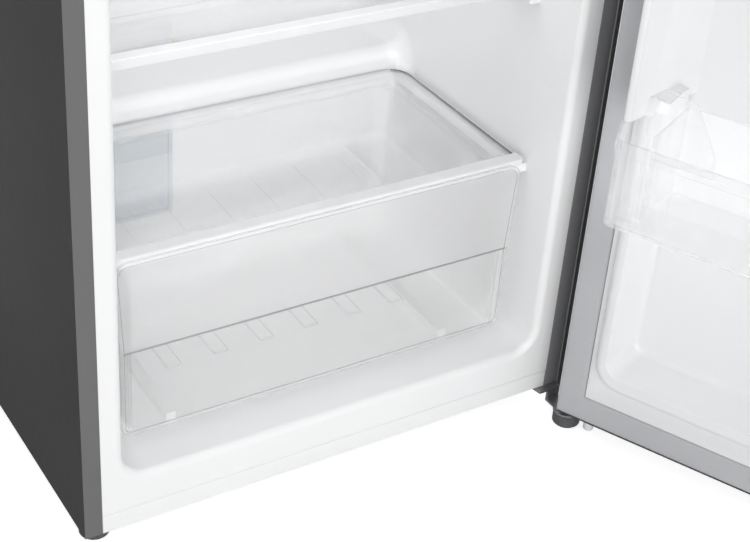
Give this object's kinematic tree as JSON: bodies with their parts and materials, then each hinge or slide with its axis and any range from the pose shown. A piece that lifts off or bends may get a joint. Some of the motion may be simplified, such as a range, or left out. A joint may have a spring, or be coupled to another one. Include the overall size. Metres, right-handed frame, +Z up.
{
  "type": "larder fridge",
  "caption": "Free-standing under-counter larder fridge with an open hinged door, glass shelves, a clear crisper drawer and clear door bins.",
  "frame": {"origin": "centre of the bounding box's bottom, with the door open as pictured", "axes": "+Z up, +Y from the front face into the cabinet, +X from the cabinet's left side to its right side"},
  "size_m": [0.8106, 1.0252, 0.85],
  "materials": {
    "side_dark": "fine satin grey",
    "galvanised": "plain zinc",
    "white_plastic": "smooth white",
    "foam": "cut foam",
    "worktop_board": "grey laminate",
    "dark_plastic": "fine texture",
    "foot_plastic": "knurled",
    "black_paint": "gloss black",
    "cast": "bare",
    "rubber_black": "matt",
    "copper": "drawn",
    "aluminium": "rolled",
    "clear_plastic": "clear moulded",
    "glass": "polished",
    "trim_clear": "milky",
    "gasket_grey": "soft matt",
    "magnet": "bonded ferrite",
    "steel_black": "satin",
    "nub": "translucent"
  },
  "bodies": {
    "cabinet": {"side_panel_left": "side_dark", "side_panel_right": "side_dark", "top_panel": "galvanised", "back_panel": "galvanised", "bay_liner": "galvanised", "cabinet_foam": "foam", "inner_liner": "white_plastic", "front_strip": "white_plastic", "worktop": "worktop_board", "base_pan": "galvanised", "rear_feet": "foot_plastic", "lower_hinge": "steel_black", "upper_hinge": "steel_black", "hinge_cover": "dark_plastic", "hinge_screws": "galvanised", "compressor_shell": "black_paint", "compressor_pump": "cast", "compressor_springs": "galvanised", "compressor_grommets": "rubber_black", "relay_box": "dark_plastic", "drip_tray": "white_plastic", "drain_tube": "white_plastic", "condenser_tube": "black_paint", "condenser_wires": "black_paint", "condenser_brackets": "dark_plastic", "suction_pipe": "copper", "discharge_pipe": "copper", "filter_drier": "copper", "evaporator": "aluminium", "control_housing": "white_plastic", "thermostat": "dark_plastic", "lamp": "dark_plastic", "lamp_lens": "clear_plastic", "mains_inlet": "dark_plastic", "wall_spacers": "dark_plastic"},
    "thermostat_knob": {"thermostat_knob": "white_plastic"},
    "crisper_drawer": {"crisper_drawer": "clear_plastic"},
    "crisper_cover": {"crisper_glass": "glass", "crisper_trim": "trim_clear"},
    "shelf_lower": {"shelf_lower_glass": "glass", "shelf_lower_front_trim": "trim_clear", "shelf_lower_rear_trim": "trim_clear"},
    "shelf_upper": {"shelf_upper_glass": "glass", "shelf_upper_front_trim": "trim_clear", "shelf_upper_rear_trim": "trim_clear"},
    "foot_left": {"foot_left": "foot_plastic"},
    "foot_right": {"foot_right": "foot_plastic"},
    "door": {"door_skin": "side_dark", "door_foam": "foam", "door_liner": "white_plastic", "door_gasket": "gasket_grey", "gasket_magnets": "magnet", "door_cap_top": "dark_plastic", "door_cap_bottom": "dark_plastic", "hinge_bushes": "nub", "door_stop": "nub", "handle_recess": "dark_plastic"},
    "bin_lower": {"bin_lower": "clear_plastic"},
    "bin_top": {"bin_top": "clear_plastic"}
  },
  "joints": [
    {"name": "door_hinge", "type": "hinge", "parent": "cabinet", "child": "door", "pos_m": [0.13972, -0.01143, 0.032], "axis": [0, 0, 1], "range_deg": [-115.4, 20]},
    {"name": "crisper_drawer_slide", "type": "slide", "parent": "cabinet", "child": "crisper_drawer", "axis": [0, -1, 0], "range_m": [0, 0.2]},
    {"name": "crisper_cover_lift", "type": "slide", "parent": "cabinet", "child": "crisper_cover", "axis": [0, 0, 1], "range_m": [0, 0.03]},
    {"name": "shelf_lower_slide", "type": "slide", "parent": "cabinet", "child": "shelf_lower", "axis": [0, -1, 0], "range_m": [0, 0.15]},
    {"name": "shelf_upper_slide", "type": "slide", "parent": "cabinet", "child": "shelf_upper", "axis": [0, -1, 0], "range_m": [0, 0.15]},
    {"name": "thermostat_turn", "type": "hinge", "parent": "cabinet", "child": "thermostat_knob", "pos_m": [-0.10028, 0.22357, 0.748], "axis": [0, 0, 1], "range_deg": [0, 300]},
    {"name": "foot_left_screw", "type": "hinge", "parent": "cabinet", "child": "foot_left", "pos_m": [-0.38028, 0.05857, 0], "axis": [0, 0, 1], "continuous": true},
    {"name": "foot_right_screw", "type": "hinge", "parent": "cabinet", "child": "foot_right", "pos_m": [0.13972, -0.01143, 0], "axis": [0, 0, 1], "continuous": true},
    {"name": "bin_lower_pull", "type": "slide", "parent": "door", "child": "bin_lower", "axis": [-0.9033, -0.4289, 0], "range_m": [0, 0.06]},
    {"name": "bin_top_lift", "type": "slide", "parent": "door", "child": "bin_top", "axis": [0, 0, 1], "range_m": [0, 0.03]}
  ]
}
